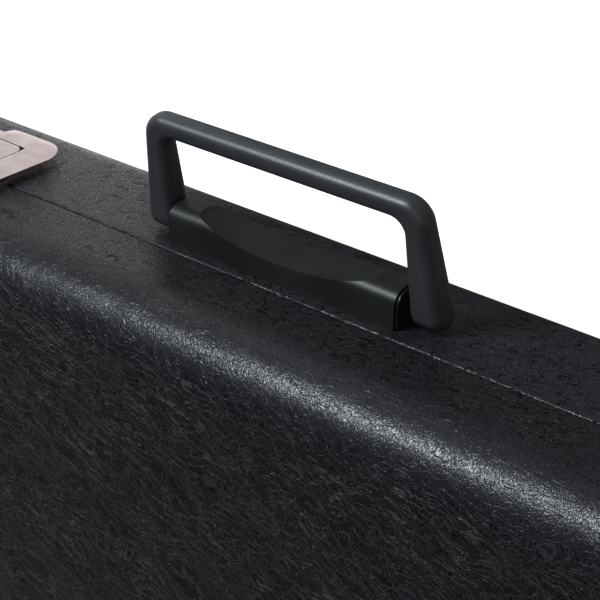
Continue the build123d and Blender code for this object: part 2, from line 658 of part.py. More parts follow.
def knuckle_spans():
    """Start and end of each hinge knuckle, measured from the hinge's end."""
    pitch = HINGE_LENGTH / KNUCKLE_COUNT
    half_gap = KNUCKLE_GAP / 2
    return [(index * pitch + half_gap, (index + 1) * pitch - half_gap) for index in range(KNUCKLE_COUNT)]


def make_leaf(x, upward, spans, holes):
    """Hinge leaf on the back of the case with its own knuckles; upward is 1 on the lid."""
    near = SEAM_Z + upward * (HINGE_KNUCKLE + LEAF_CLEARANCE)
    far = SEAM_Z + upward * LEAF_HEIGHT
    low_x = x - HINGE_LENGTH / 2
    plate = Plane(origin=(x, BACK_Y, (near + far) / 2), x_dir=(1, 0, 0), z_dir=(0, 1, 0))
    outline = Rectangle(HINGE_LENGTH, abs(far - near))
    leaf = extrude(plate * outline, LEAF_THICKNESS)
    outer_corners = leaf.edges().filter_by(Axis.Y).group_by(Axis.Z)[-1 if upward > 0 else 0]
    leaf = fillet(outer_corners, LEAF_CORNER)
    for start, end in spans:
        low_z, high_z = sorted((SEAM_Z, near + upward * 0.5))
        leaf = leaf + brick((low_x + start, BACK_Y, low_z), (low_x + end, BACK_Y + LEAF_THICKNESS, high_z))
        leaf = leaf + rod((low_x + start, HINGE_AXIS_Y, SEAM_Z), (1, 0, 0), HINGE_KNUCKLE, end - start)
    bore_start = (low_x - 1, HINGE_AXIS_Y, SEAM_Z)
    leaf = leaf - rod(bore_start, (1, 0, 0), HINGE_PIN_RADIUS + HINGE_PIN_CLEARANCE, HINGE_LENGTH + 2)
    return without(leaf, holes)


def make_hinges():
    spans = knuckle_spans()
    for side, word in ((-1, "left"), (1, "right")):
        x = side * HINGE_X
        save(make_leaf(x, -1, spans[0::2], BACK_BASE_HOLES), f"hinge_leaf_base_{word}")
        save(make_leaf(x, 1, spans[1::2], BACK_LID_HOLES), f"hinge_leaf_lid_{word}")
        pin_start = (x - HINGE_LENGTH / 2, HINGE_AXIS_Y, SEAM_Z)
        save(rod(pin_start, (1, 0, 0), HINGE_PIN_RADIUS, HINGE_LENGTH), f"hinge_pin_{word}")
    leaf_y = BACK_Y + LEAF_THICKNESS
    base = [rivet(x, leaf_y, SEAM_Z - LEAF_RIVET_DROP, 1, LEAF_THICKNESS, BASE_WALL) for x in HINGE_RIVET_XS]
    lid = [rivet(x, leaf_y, SEAM_Z + LEAF_RIVET_DROP, 1, LEAF_THICKNESS, LID_WALL) for x in HINGE_RIVET_XS]
    save(Compound(base), "hinge_base_rivets")
    save(Compound(lid), "hinge_lid_rivets")


def make_latch_rivets():
    body_y = FRONT_Y - BODY_HEIGHT
    block_y = FRONT_Y - BLOCK_PLATE
    body = [rivet(x, body_y, z, -1, BODY_HEIGHT, BASE_WALL) for x, z in BODY_RIVETS]
    block = [rivet(x, block_y, z, -1, BLOCK_PLATE, LID_WALL) for x, z in BLOCK_RIVETS]
    save(Compound(body), "latch_body_rivets")
    save(Compound(block), "latch_block_rivets")


os.makedirs("parts", exist_ok=True)
make_base()
make_insert()
make_compartment()
make_lid()
make_handle()
for latch_x, latch_word in ((-LATCH_X, "left"), (LATCH_X, "right")):
    make_hasp(latch_x, latch_word)
    make_button(latch_x, latch_word)
    make_latch_body(latch_x, latch_word)
    make_hinge_block(latch_x, latch_word)
make_latch_rivets()
make_hinges()
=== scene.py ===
import bmesh
import bpy
import json
import math
from mathutils import Matrix, Vector


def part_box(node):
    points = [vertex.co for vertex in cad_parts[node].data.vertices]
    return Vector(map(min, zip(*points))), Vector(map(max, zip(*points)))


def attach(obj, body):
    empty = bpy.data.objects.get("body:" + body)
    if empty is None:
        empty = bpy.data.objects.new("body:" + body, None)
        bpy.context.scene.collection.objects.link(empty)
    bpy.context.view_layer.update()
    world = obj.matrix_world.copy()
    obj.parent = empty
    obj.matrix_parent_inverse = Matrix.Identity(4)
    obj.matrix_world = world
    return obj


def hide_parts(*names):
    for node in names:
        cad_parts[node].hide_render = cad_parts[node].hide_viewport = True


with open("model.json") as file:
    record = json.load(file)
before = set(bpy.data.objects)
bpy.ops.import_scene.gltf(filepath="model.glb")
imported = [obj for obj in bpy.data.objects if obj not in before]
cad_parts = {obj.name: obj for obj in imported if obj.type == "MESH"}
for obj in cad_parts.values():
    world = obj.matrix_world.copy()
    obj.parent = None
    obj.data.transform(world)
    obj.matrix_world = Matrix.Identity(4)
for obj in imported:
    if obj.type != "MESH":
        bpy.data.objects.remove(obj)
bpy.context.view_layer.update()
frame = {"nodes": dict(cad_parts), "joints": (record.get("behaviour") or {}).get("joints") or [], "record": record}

# The recorder case: CAD nodes in their finishes, finer meshes for latches and soft pieces, studio and camera
MM = 0.001

# Places taken from the CAD frame, in metres
JOINTS = {joint["name"]: joint for joint in frame["joints"]}
SEAM_Z = JOINTS["lid_hinge"]["pos_m"][2]
HANDLE_X = JOINTS["handle_swing"]["pos_m"][0]
FRONT_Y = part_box("base_cover")[0][1]
HALF_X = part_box("lid_cover")[1].x
HALF_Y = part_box("lid_cover")[1].y

# The camera sees the case as if it stood on its hinges: these are that view's directions
ALONG = Vector((-1, 0, 0))
AWAY = Vector((0, 0, -1))
RISE = Vector((0, -1, 0))
CAMERA_HEADING = math.radians(40.458)
CAMERA_PITCH = math.radians(28.258)
CAMERA_PLACE = (342.08 * MM, -382.26 * MM, 271.28 * MM)
FOCAL_PIXELS = 1600.0
FRAME_PIXELS = 600.0
SENSOR = 36.0
CLIP_START = 0.01


def make_camera():
    """Camera set from the seam on the handle's middle, looking along its heading and down by its pitch."""
    forward = (
        -math.sin(CAMERA_HEADING) * math.cos(CAMERA_PITCH) * ALONG
        + math.cos(CAMERA_HEADING) * math.cos(CAMERA_PITCH) * AWAY
        - math.sin(CAMERA_PITCH) * RISE
    )
    right = math.cos(CAMERA_HEADING) * ALONG + math.sin(CAMERA_HEADING) * AWAY
    up = right.cross(forward)
    along, away, rise = CAMERA_PLACE
    place = Vector((HANDLE_X, FRONT_Y, SEAM_Z)) + along * ALONG + away * AWAY + rise * RISE
    data = bpy.data.cameras.new("camera")
    data.sensor_width = SENSOR
    data.lens = FOCAL_PIXELS / FRAME_PIXELS * SENSOR
    data.clip_start = CLIP_START
    camera = bpy.data.objects.new("camera", data)
    turn = Matrix((right, up, -forward)).transposed().to_4x4()
    camera.matrix_world = Matrix.Translation(place) @ turn
    bpy.context.scene.collection.objects.link(camera)
    bpy.context.scene.camera = camera


# Node helpers
VECTOR = "NodeSocketVector"
FLOAT = "NodeSocketFloat"
# Object coordinates are in metres, and the patterns are written in millimetres
TO_MM = (1000, 1000, 1000)
# Most values of a soft noise lie between these two
NOISE_LOW, NOISE_HIGH = 0.3, 0.7


def add(tree, kind, settings=None, inputs=None):
    node = tree.nodes.new(kind)
    for name, value in (settings or {}).items():
        setattr(node, name, value)
    for name, value in (inputs or {}).items():
        node.inputs[name].default_value = value
    return node


def feed(tree, value, socket):
    """Links a node's output to the socket, or sets the socket to a plain value."""
    if hasattr(value, "is_output"):
        tree.links.new(value, socket)
    else:
        socket.default_value = value


def math_node(tree, operation, first, second):
    node = add(tree, "ShaderNodeMath", {"operation": operation})
    feed(tree, first, node.inputs[0])
    feed(tree, second, node.inputs[1])
    return node.outputs[0]


def mixed(tree, kind, factor, first, second):
    node = add(tree, "ShaderNodeMix", {"data_type": kind})
    feed(tree, factor, node.inputs["Factor"])
    feed(tree, first, node.inputs["A"])
    feed(tree, second, node.inputs["B"])
    return node.outputs["Result"]


def scaled(tree, vector, scale):
    node = add(tree, "ShaderNodeVectorMath", {"operation": "MULTIPLY"})
    tree.links.new(vector, node.inputs[0])
    node.inputs[1].default_value = scale
    return node.outputs[0]


def split(tree, vector):
    """The X, Y and Z outputs of a vector."""
    node = add(tree, "ShaderNodeSeparateXYZ")
    tree.links.new(vector, node.inputs[0])
    return node.outputs


def band(tree, value, low, high, out_low=0.0, out_high=1.0):
    """The value taken smoothly from out_low to out_high as it goes from low to high."""
    node = add(tree, "ShaderNodeMapRange", {"interpolation_type": "SMOOTHSTEP"})
    tree.links.new(value, node.inputs["Value"])
    node.inputs["From Min"].default_value = low
    node.inputs["From Max"].default_value = high
    node.inputs["To Min"].default_value = out_low
    node.inputs["To Max"].default_value = out_high
    return node.outputs["Result"]


def noise(tree, vector, scale, detail=2.0, roughness=0.5):
    node = add(tree, "ShaderNodeTexNoise")
    tree.links.new(vector, node.inputs["Vector"])
    node.inputs["Scale"].default_value = scale
    node.inputs["Detail"].default_value = detail
    node.inputs["Roughness"].default_value = roughness
    return node


def level_line(tree, vector, scale, width):
    """Thin wandering lines, 1 where a soft noise passes through its middle value."""
    soft = noise(tree, vector, scale, detail=1.5)
    away = math_node(tree, "ABSOLUTE", math_node(tree, "SUBTRACT", soft.outputs["Fac"], 0.5), 0.0)
    return band(tree, away, 0.0, width, 1.0, 0.0)


def warped(tree, vector, scale, amount):
    """The vector pushed about by a soft noise, amount at most."""
    drift = noise(tree, vector, scale)
    centred = add(tree, "ShaderNodeVectorMath", {"operation": "SUBTRACT"})
    tree.links.new(drift.outputs["Color"], centred.inputs[0])
    centred.inputs[1].default_value = (0.5, 0.5, 0.5)
    moved = add(tree, "ShaderNodeVectorMath", {"operation": "MULTIPLY_ADD"})
    tree.links.new(centred.outputs[0], moved.inputs[0])
    moved.inputs[1].default_value = (2 * amount, 2 * amount, 2 * amount)
    tree.links.new(vector, moved.inputs[2])
    return moved.outputs[0]


def new_group(name, inputs, outputs):
    tree = bpy.data.node_groups.new(name, "ShaderNodeTree")
    for label, kind in inputs:
        tree.interface.new_socket(name=label, in_out="INPUT", socket_type=kind)
    for label, kind in outputs:
        tree.interface.new_socket(name=label, in_out="OUTPUT", socket_type=kind)
    return tree, tree.nodes.new("NodeGroupInput"), tree.nodes.new("NodeGroupOutput")


# Leatherette: heights in millimetres where its look changes
SEAM_FROM, SEAM_TO = 58.0, 62.0
EDGE_FROM, EDGE_TO = 80.0, 86.0
FACE_FROM, FACE_TO = 102.0, 103.8
# The base half is painted lighter than the lid's front by this much of the mottle: painted light standing in for
# the brighter reflection it shows
BASE_PAINTED_LIGHT = 0.14
CREASE_LEAN_Y = 0.3
CREASE_LEAN_Z = -0.16


def creased_place(tree, parts):
    """The place leant so that lines run slightly across the case, and pushed about so that they wander."""
    leant = add(tree, "ShaderNodeCombineXYZ")
    lean_y = math_node(tree, "MULTIPLY", parts["X"], CREASE_LEAN_Y)
    lean_z = math_node(tree, "MULTIPLY", parts["X"], CREASE_LEAN_Z)
    tree.links.new(parts["X"], leant.inputs["X"])
    tree.links.new(math_node(tree, "ADD", parts["Y"], lean_y), leant.inputs["Y"])
    tree.links.new(math_node(tree, "ADD", parts["Z"], lean_z), leant.inputs["Z"])
    wide = warped(tree, leant.outputs[0], scale=0.035, amount=9)
    return warped(tree, wide, scale=0.22, amount=1.6)


def crease_lines(tree, place, moved):
    """Long creases that fade in patches, and fainter short ones."""
    patches = noise(tree, place, scale=0.028)
    strength = band(tree, patches.outputs["Fac"], low=0.4, high=0.62, out_low=0.25)
    long_line = level_line(tree, scaled(tree, moved, (0.13, 1, 1)), scale=0.24, width=0.022)
    short_line = level_line(tree, scaled(tree, moved, (0.25, 1, 1.1)), scale=0.35, width=0.03)
    long_crease = math_node(tree, "MULTIPLY", long_line, strength)
    short_crease = math_node(tree, "MULTIPLY", short_line, 0.35)
    return math_node(tree, "MAXIMUM", long_crease, short_crease)


def leather_grain_group():
    """Long thin creases along the case, short wrinkles and a fine pebble between them."""
    tree, given, result = new_group(
        "leather_grain",
        [("Place", VECTOR)],
        [("Height", FLOAT), ("Painted Crease Glint", FLOAT), ("Mottle And Painted Light", FLOAT), ("Gloss", FLOAT)],
    )
    place = scaled(tree, given.outputs["Place"], TO_MM)
    parts = split(tree, place)
    moved = creased_place(tree, parts)
    past_front = band(tree, parts["Z"], EDGE_FROM, EDGE_TO)
    before_face = band(tree, parts["Z"], FACE_FROM, FACE_TO, 1.0, 0.0)
    on_edge = math_node(tree, "MULTIPLY", past_front, before_face)

    streaks = noise(tree, scaled(tree, moved, (1.4, 0.55, 0.55)), scale=1.5, detail=1.0)
    pebble = noise(tree, scaled(tree, moved, (0.85, 1, 1)), scale=1.5, detail=1.0, roughness=0.6)
    streak_share = math_node(tree, "MULTIPLY", on_edge, 0.6)
    grain = mixed(tree, "FLOAT", streak_share, pebble.outputs["Fac"], streaks.outputs["Fac"])

    # The lid's edge is stretched smooth, so its creases are weaker
    crease_share = math_node(tree, "SUBTRACT", 1.0, math_node(tree, "MULTIPLY", on_edge, 0.65))
    crease = math_node(tree, "MULTIPLY", crease_lines(tree, place, moved), crease_share)
    on_front = math_node(tree, "SUBTRACT", 1.0, past_front)
    # Painted shade: creases on the front are darkened in colour, standing in for the shade in them
    painted_crease_shade = math_node(tree, "MULTIPLY", crease, on_front)
    # Painted light: below the seam the colour is lifted, standing in for the base half's brighter reflection
    grain_and_painted_light = math_node(tree, "ADD", grain, band(tree, parts["Z"], SEAM_FROM, SEAM_TO, BASE_PAINTED_LIGHT, 0.0))
    mottle_and_painted_light = math_node(tree, "SUBTRACT", grain_and_painted_light, math_node(tree, "MULTIPLY", painted_crease_shade, 0.9))
    height = math_node(tree, "SUBTRACT", math_node(tree, "MULTIPLY", grain, 0.6), crease)

    speckle = noise(tree, scaled(tree, moved, (1.2, 0.9, 0.9)), scale=2.0, detail=0.0)
    shine = band(tree, speckle.outputs["Fac"], low=0.36, high=0.64, out_low=0.25)
    dull = math_node(tree, "SUBTRACT", 1.0, math_node(tree, "MULTIPLY", crease, 0.8))
    tree.links.new(height, result.inputs["Height"])
    # Painted highlight: lighter lines along the creases of the lid's edge and face
    tree.links.new(math_node(tree, "MULTIPLY", crease, past_front), result.inputs["Painted Crease Glint"])
    tree.links.new(mottle_and_painted_light, result.inputs["Mottle And Painted Light"])
    tree.links.new(math_node(tree, "MULTIPLY", shine, dull), result.inputs["Gloss"])
    return tree


def fine_texture_group():
    """Even fine speckle of moulded plastic: a height and a mask of slow variation."""
    tree, given, result = new_group(
        "fine_texture", [("Place", VECTOR), ("Size", FLOAT)], [("Height", FLOAT), ("Cloud", FLOAT)]
    )
    place = scaled(tree, given.outputs["Place"], TO_MM)
    speckle = noise(tree, place, scale=1.0, detail=1.0)
    tree.links.new(given.outputs["Size"], speckle.inputs["Scale"])
    cloud = noise(tree, place, scale=0.06, detail=3.0)
    tree.links.new(speckle.outputs["Fac"], result.inputs["Height"])
    tree.links.new(cloud.outputs["Fac"], result.inputs["Cloud"])
    return tree


def brushing_group():
    """Very fine lines of brushed plating along X, and soft cloudy patches."""
    tree, given, result = new_group("brushing", [("Place", VECTOR)], [("Lines", FLOAT), ("Cloud", FLOAT)])
    place = scaled(tree, given.outputs["Place"], TO_MM)
    lines = noise(tree, scaled(tree, place, (0.12, 6, 6)), scale=1.0)
    cloud = noise(tree, place, scale=0.12)
    tree.links.new(lines.outputs["Fac"], result.inputs["Lines"])
    tree.links.new(cloud.outputs["Fac"], result.inputs["Cloud"])
    return tree


def pile_group():
    """Short pile of plush: fine upright fibres with brushed patches."""
    tree, given, result = new_group("pile", [("Place", VECTOR)], [("Height", FLOAT), ("Brushed", FLOAT)])
    place = scaled(tree, given.outputs["Place"], TO_MM)
    fibres = noise(tree, place, scale=2.2, roughness=0.7)
    brushed = noise(tree, scaled(tree, place, (0.4, 1, 1)), scale=0.035, detail=3.0, roughness=0.6)
    tree.links.new(fibres.outputs["Fac"], result.inputs["Height"])
    tree.links.new(brushed.outputs["Fac"], result.inputs["Brushed"])
    return tree


GROUPS = {
    "leather": leather_grain_group(),
    "fine": fine_texture_group(),
    "brushed": brushing_group(),
    "pile": pile_group(),
}


# Materials
def new_material(name, settings):
    material = bpy.data.materials.new(name)
    material.use_nodes = True
    tree = material.node_tree
    shader = tree.nodes["Principled BSDF"]
    for label, value in settings.items():
        shader.inputs[label].default_value = value
    return material, tree, shader


def use_group(tree, key, inputs=None):
    node = add(tree, "ShaderNodeGroup", {"node_tree": GROUPS[key]}, inputs)
    spot = add(tree, "ShaderNodeTexCoord")
    tree.links.new(spot.outputs["Object"], node.inputs["Place"])
    return node


def colour_between(tree, mask, first, second):
    ramp = add(tree, "ShaderNodeValToRGB")
    start, end = ramp.color_ramp.elements
    start.color = (*first, 1)
    end.color = (*second, 1)
    start.position = NOISE_LOW
    end.position = NOISE_HIGH
    tree.links.new(mask, ramp.inputs["Fac"])
    return ramp.outputs["Color"]


def bump(tree, shader, height, distance):
    node = add(tree, "ShaderNodeBump", None, {"Distance": distance, "Strength": 1.0})
    tree.links.new(height, node.inputs["Height"])
    tree.links.new(node.outputs["Normal"], shader.inputs["Normal"])
    return node.outputs["Normal"]


def leatherette_material():
    """Black base under a glossy coat, which carries the grain; lighter lines are painted in the creases of the
    lid's edge and face, a painted highlight of light caught by the creases.
    """
    material, tree, shader = new_material("leatherette", {
        "IOR": 1.33,
        "Specular IOR Level": 0.12,
        "Roughness": 0.5,
        "Coat IOR": 1.36,
        "Coat Tint": (0.93, 0.98, 1, 1),
    })
    grain = use_group(tree, "leather")
    # Base colour from the mottle, which also carries painted light on the base half and painted shade in the
    # front's creases
    colour = colour_between(tree, grain.outputs["Mottle And Painted Light"], (0.0008, 0.0007, 0.001), (0.0135, 0.0125, 0.0155))
    # Painted highlight: the creases of the lid's edge and face are lightened in colour
    with_painted_crease_glints = mixed(tree, "RGBA", grain.outputs["Painted Crease Glint"], colour, (0.034, 0.037, 0.039, 1))
    coat_roughness = band(tree, grain.outputs["Gloss"], low=0.1, high=1.0, out_low=0.34, out_high=0.24)
    tree.links.new(with_painted_crease_glints, shader.inputs["Base Color"])
    tree.links.new(coat_roughness, shader.inputs["Coat Roughness"])
    tree.links.new(grain.outputs["Gloss"], shader.inputs["Coat Weight"])
    tree.links.new(bump(tree, shader, grain.outputs["Height"], 0.0003), shader.inputs["Coat Normal"])
    return material


ROUGHNESS_SPREAD = 0.04


def plastic_material(name, dark, light, rough, size, depth, shine=0.5):
    """Moulded plastic: size is how fine its speckle is and depth how deep, in metres."""
    material, tree, shader = new_material(name, {"IOR": 1.46, "Specular IOR Level": shine})
    speckle = use_group(tree, "fine", {"Size": size})
    colour = colour_between(tree, speckle.outputs["Cloud"], dark, light)
    roughness = band(tree, speckle.outputs["Height"], NOISE_LOW, NOISE_HIGH,
                     rough - ROUGHNESS_SPREAD, rough + ROUGHNESS_SPREAD)
    tree.links.new(colour, shader.inputs["Base Color"])
    tree.links.new(roughness, shader.inputs["Roughness"])
    bump(tree, shader, speckle.outputs["Height"], depth)
    return material


def metal_material(name, dark, light, low_rough, high_rough):
    material, tree, shader = new_material(name, {"Metallic": 1.0})
    brushed = use_group(tree, "brushed")
    colour = colour_between(tree, brushed.outputs["Cloud"], dark, light)
    roughness = band(tree, brushed.outputs["Lines"], NOISE_LOW, NOISE_HIGH, low_rough, high_rough)
    tree.links.new(colour, shader.inputs["Base Color"])
    tree.links.new(roughness, shader.inputs["Roughness"])
    bump(tree, shader, brushed.outputs["Lines"], 0.000012)
    return material


def plush_material():
    material, tree, shader = new_material("plush", {
        "Roughness": 0.95,
        "Specular IOR Level": 0.2,
        "Sheen Weight": 0.6,
        "Sheen Roughness": 0.4,
        "Sheen Tint": (0.5, 0.55, 0.8, 1),
    })
    pile = use_group(tree, "pile")
    colour = colour_between(tree, pile.outputs["Brushed"], (0.018, 0.022, 0.06), (0.032, 0.04, 0.1))
    tree.links.new(colour, shader.inputs["Base Color"])
    bump(tree, shader, pile.outputs["Height"], 0.0004)
    return material


MATERIALS = {
    "leatherette": leatherette_material(),
    "shell_plastic": plastic_material(
        "shell_plastic", (0.035, 0.035, 0.035), (0.045, 0.045, 0.046), rough=0.6, size=1.5, depth=0.00006),
    "tongue_plastic": plastic_material(
        "tongue_plastic", (0.016, 0.016, 0.017), (0.021, 0.021, 0.022), rough=0.45, size=2.0, depth=0.00004),
    "handle_plastic": plastic_material(
        "handle_plastic", (0.005, 0.0054, 0.006), (0.008, 0.0085, 0.0095),
        rough=0.38, size=3.0, depth=0.00003, shine=0.25),
    # Painted light: a lighter copy of the handle block's plastic for the bail, standing in for the brighter light
    # it catches
    "bail_plastic_painted_light": plastic_material(
        "bail_plastic_painted_light", (0.017, 0.018, 0.021), (0.021, 0.022, 0.026), rough=0.4, size=3.0, depth=0.00003),
    "bush_plastic": plastic_material(
        "bush_plastic", (0.006, 0.006, 0.007), (0.008, 0.008, 0.009), rough=0.14, size=2.0, depth=0.000004),
    "nickel": metal_material("nickel", (0.6, 0.48, 0.47), (0.76, 0.65, 0.63), low_rough=0.18, high_rough=0.3),
    "steel": metal_material("steel", (0.5, 0.5, 0.51), (0.58, 0.58, 0.59), low_rough=0.25, high_rough=0.38),
    "plush": plush_material(),
}


def dress_nodes():
    """Each CAD node takes its slot's finish, but the bail takes a lighter copy of the handle block's plastic,
    painted light standing in for the brighter light its bar and legs catch.
    """
    slots = {part["node"]: part["material_slot"] for part in frame["record"]["subparts"]}
    for name, node in frame["nodes"].items():
        node.data.materials.clear()
        node.data.materials.append(MATERIALS["bail_plastic_painted_light" if name == "handle_bail" else slots[name]])


# Mesh helpers
SAME_PLACE = 1e-6
RIM_ANGLE = math.radians(55)


def finish_piece(name, shape, body, slot, nodes, sharp_angle):
    """Makes the object of a finished mesh, which rides on a body and stands for some CAD nodes."""
    bmesh.ops.remove_doubles(shape, verts=shape.verts[:], dist=SAME_PLACE)
    bmesh.ops.recalc_face_normals(shape, faces=shape.faces[:])
    mesh = bpy.data.meshes.new(name)
    shape.to_mesh(mesh)
    shape.free()
    for polygon in mesh.polygons:
        polygon.use_smooth = True
    mesh.set_sharp_from_angle(angle=math.radians(sharp_angle))
    piece = bpy.data.objects.new(name, mesh)
    bpy.context.scene.collection.objects.link(piece)
    mesh.materials.append(MATERIALS[slot])
    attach(piece, body)
    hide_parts(*nodes)
    return piece


def add_outline(shape, points, place):
    """One face from a few corners."""
    return shape.faces.new([shape.verts.new(place(*point)) for point in points])


def rounded_outline(shape, points, place, radius, segments):
    """One face with rounded corners. The bevel makes it anew, so it is looked up among the new faces."""
    before = set(shape.faces)
    sharp = add_outline(shape, points, place)
    bmesh.ops.bevel(shape, geom=sharp.verts[:], offset=radius, offset_type="OFFSET", segments=segments,
                    profile=0.5, affect="VERTICES", material=-1)
    return next(face for face in shape.faces if face not in before)


def rectangle(half_x, half_y):
    return [(-half_x, -half_y), (half_x, -half_y), (half_x, half_y), (-half_x, half_y)]


def new_verts(made):
    return [item for item in made["geom"] if isinstance(item, bmesh.types.BMVert)]


def ease_rims(shape, radius, segments):
    bmesh.ops.recalc_face_normals(shape, faces=shape.faces[:])
    rims = [edge for edge in shape.edges if len(edge.link_faces) == 2 and edge.calc_face_angle() > RIM_ANGLE]
    bmesh.ops.bevel(shape, geom=rims, offset=radius, offset_type="OFFSET", segments=segments, profile=0.5,
                    affect="EDGES", material=-1, clamp_overlap=True)


def add_eased_block(shape, size, middle, radius):
    """Small block with rounded edges."""
    verts = bmesh.ops.create_cube(shape, size=1.0)["verts"]
    bmesh.ops.scale(shape, vec=size, verts=verts)
    bmesh.ops.translate(shape, vec=middle, verts=verts)
    edges = list({edge for vert in verts for edge in vert.link_edges})
    bmesh.ops.bevel(shape, geom=edges, offset=radius, offset_type="OFFSET", segments=2, profile=0.5,
                    affect="EDGES", material=-1)


def drawn_to_arc(away, radius):
    """A step into a sharp corner, shortened to the corner's arc; steps along one side stay as they are."""
    if abs(away.x) > 1e-9 and abs(away.y) > 1e-9:
        return away.normalized() * radius
    return away


# Latch hasp: a crowned plate with a bowed window and a thumb notch
HASP_HALF = 42 * MM
HASP_LOW = 25.2 * MM
HASP_HIGH = 69.4 * MM
HASP_ROUND = 14.5 * MM
HASP_UNDERSIDE = 3.6 * MM
HASP_THICKNESS = 0.9 * MM
HASP_CROWN = 0.5 * MM
HASP_RIM_ROUND = 0.42 * MM
HASP_ROWS = 8
CROWN_WIDTH = 9 * MM
# The crown falls away faster towards the low edge, by this much
CROWN_LOW_SPEED = 1.2
WINDOW_HALF = 26.1 * MM
WINDOW_Z = 47.5 * MM
WINDOW_HALF_HEIGHT = 10.2 * MM
WINDOW_BOW = 0.25 * MM
WINDOW_END_BOW = 1.0 * MM
LONG_CUTS = 39
SHORT_CUTS = 19
# A share of a side past this is on the side itself
ON_SIDE = 0.999
NOTCH_REACH = 11 * MM
# Half of the thumb notch from its side towards its middle: across and above the low edge, in millimetres
NOTCH_PATH = (
    (11, 0), (8.8, 0), (6.6, 0.1), (5.3, 0.9), (4.8, 2.2), (4.8, 4.2),
    (5.5, 6.4), (6.4, 8.2), (5.8, 9.2), (4.0, 9.5), (2.0, 9.5), (0, 9.5),
)
# The plate dips round the notch
DIP_HALF = 5 * MM
DIP_HEIGHT = 8 * MM
DIP_FADE = 2.5 * MM
DIP_DEPTH = 0.25 * MM
PIN_HEIGHT_Z = 72 * MM
KNUCKLE_HALF = 37.6 * MM
KNUCKLE_RADIUS = 2.2 * MM
KNUCKLE_BORE = 1.3 * MM
KNUCKLE_EDGE_ROUND = 0.2 * MM
KNUCKLE_STEPS = 24
WEB_OVERLAP = 0.6 * MM
WEB_THICKNESS = 1.0 * MM
WEB_INSET = 0.3 * MM
WEB_EDGE_ROUND = 0.2 * MM


def window_loop(shape, x):
    """Outline of the window with its sides bowed outwards, and each vertex's share of the sides."""
    out = HASP_UNDERSIDE + HASP_THICKNESS
    face = add_outline(shape, rectangle(WINDOW_HALF, WINDOW_HALF_HEIGHT),
                       lambda across, rise: Vector((x + across, FRONT_Y - out, WINDOW_Z + rise)))
    bmesh.ops.delete(shape, geom=[face], context="FACES_ONLY")
    flat = [edge for edge in shape.edges if abs(edge.verts[0].co.z - edge.verts[1].co.z) < SAME_PLACE]
    upright = [edge for edge in shape.edges if edge not in flat]
    bmesh.ops.subdivide_edges(shape, edges=flat, cuts=LONG_CUTS)
    bmesh.ops.subdivide_edges(shape, edges=upright, cuts=SHORT_CUTS)
    shares = {}
    for vert in shape.verts:
        across = (vert.co.x - x) / WINDOW_HALF
        height = (vert.co.z - WINDOW_Z) / WINDOW_HALF_HEIGHT
        shares[vert] = (across, height)
        if abs(height) > ON_SIDE:
            vert.co.z += math.copysign(WINDOW_BOW * (1 - across ** 2), height)
        elif abs(across) > ON_SIDE:
            vert.co.x += math.copysign(WINDOW_END_BOW * (1 - height ** 2), across)
    return shares


def notch_place(across):
    """Point of the low edge where it runs into the thumb notch and out again."""
    spots = [Vector((side * MM, rise * MM)) for side, rise in NOTCH_PATH]
    place = (1 - abs(across) / NOTCH_REACH) * (len(spots) - 1)
    index = min(len(spots) - 2, int(place))
    spot = spots[index].lerp(spots[index + 1], place - index)
    return math.copysign(spot.x, across), HASP_LOW + spot.y


def rounded_place(across, height):
    """Point of the plate's sharp outline, drawn in to the arc in one of the rounded low corners."""
    inner_x = max(-HASP_HALF + HASP_ROUND, min(HASP_HALF - HASP_ROUND, across))
    inner_z = max(HASP_LOW + HASP_ROUND, height)
    away = drawn_to_arc(Vector((across - inner_x, height - inner_z)), HASP_ROUND)
    return inner_x + away.x, min(HASP_HIGH, inner_z + away.y)


def outer_place(x, y, across, height):
    """Where a vertex of the window's outline, given by its shares, lands on the plate's outline."""
    side = across * HASP_HALF
    low = height < -ON_SIDE
    if low and abs(side) < NOTCH_REACH:
        spot_x, spot_z = notch_place(side)
    else:
        level = HASP_LOW if low else (HASP_LOW + HASP_HIGH) / 2 + height * (HASP_HIGH - HASP_LOW) / 2
        spot_x, spot_z = rounded_place(side, level)
    return Vector((x + spot_x, y, spot_z))


def crown_plate(shape, x):
    """Bulges the plate outwards from its edges, apart from a dip round the notch."""
    for vert in shape.verts:
        across = abs(vert.co.x - x)
        rise = vert.co.z - HASP_LOW
        side = min(HASP_HALF - across, CROWN_LOW_SPEED * rise) / CROWN_WIDTH
        crown = HASP_CROWN * (1 - (1 - max(0.0, min(1.0, side))) ** 2)
        past_notch = Vector((max(0.0, across - DIP_HALF), max(0.0, rise - DIP_HEIGHT))).length
        dip = max(0.0, 1 - past_notch / DIP_FADE)
        vert.co.y -= crown - DIP_DEPTH * dip * dip


def make_hasp(word, x):
    """Plate drawn in rows from the window's outline to its own, crowned, thickened and eased."""
    shape = bmesh.new()
    shares = window_loop(shape, x)
    ways = {vert: (vert.co.copy(), outer_place(x, vert.co.y, *share)) for vert, share in shares.items()}
    edges = shape.edges[:]
    for row in range(1, HASP_ROWS + 1):
        made = bmesh.ops.extrude_edge_only(shape, edges=edges)
        edges = [item for item in made["geom"] if isinstance(item, bmesh.types.BMEdge)]
        moved_on = {}
        for vert in new_verts(made):
            origin = min(ways, key=lambda old: (old.co - vert.co).length_squared)
            moved_on[vert] = ways[origin]
        ways = moved_on
        for vert, (start, end) in ways.items():
            vert.co = start.lerp(end, row / HASP_ROWS)
    crown_plate(shape, x)
    back = new_verts(bmesh.ops.extrude_face_region(shape, geom=shape.faces[:]))
    bmesh.ops.translate(shape, vec=(0, HASP_THICKNESS, 0), verts=back)
    for vert in back:
        vert.co.y = min(vert.co.y, FRONT_Y - HASP_UNDERSIDE)
    ease_rims(shape, HASP_RIM_ROUND, 3)
    add_knuckle(shape, x)
    finish_piece(f"hasp_{word}", shape, f"hasp_{word}", "nickel", [f"latch_hasp_{word}"], 60)


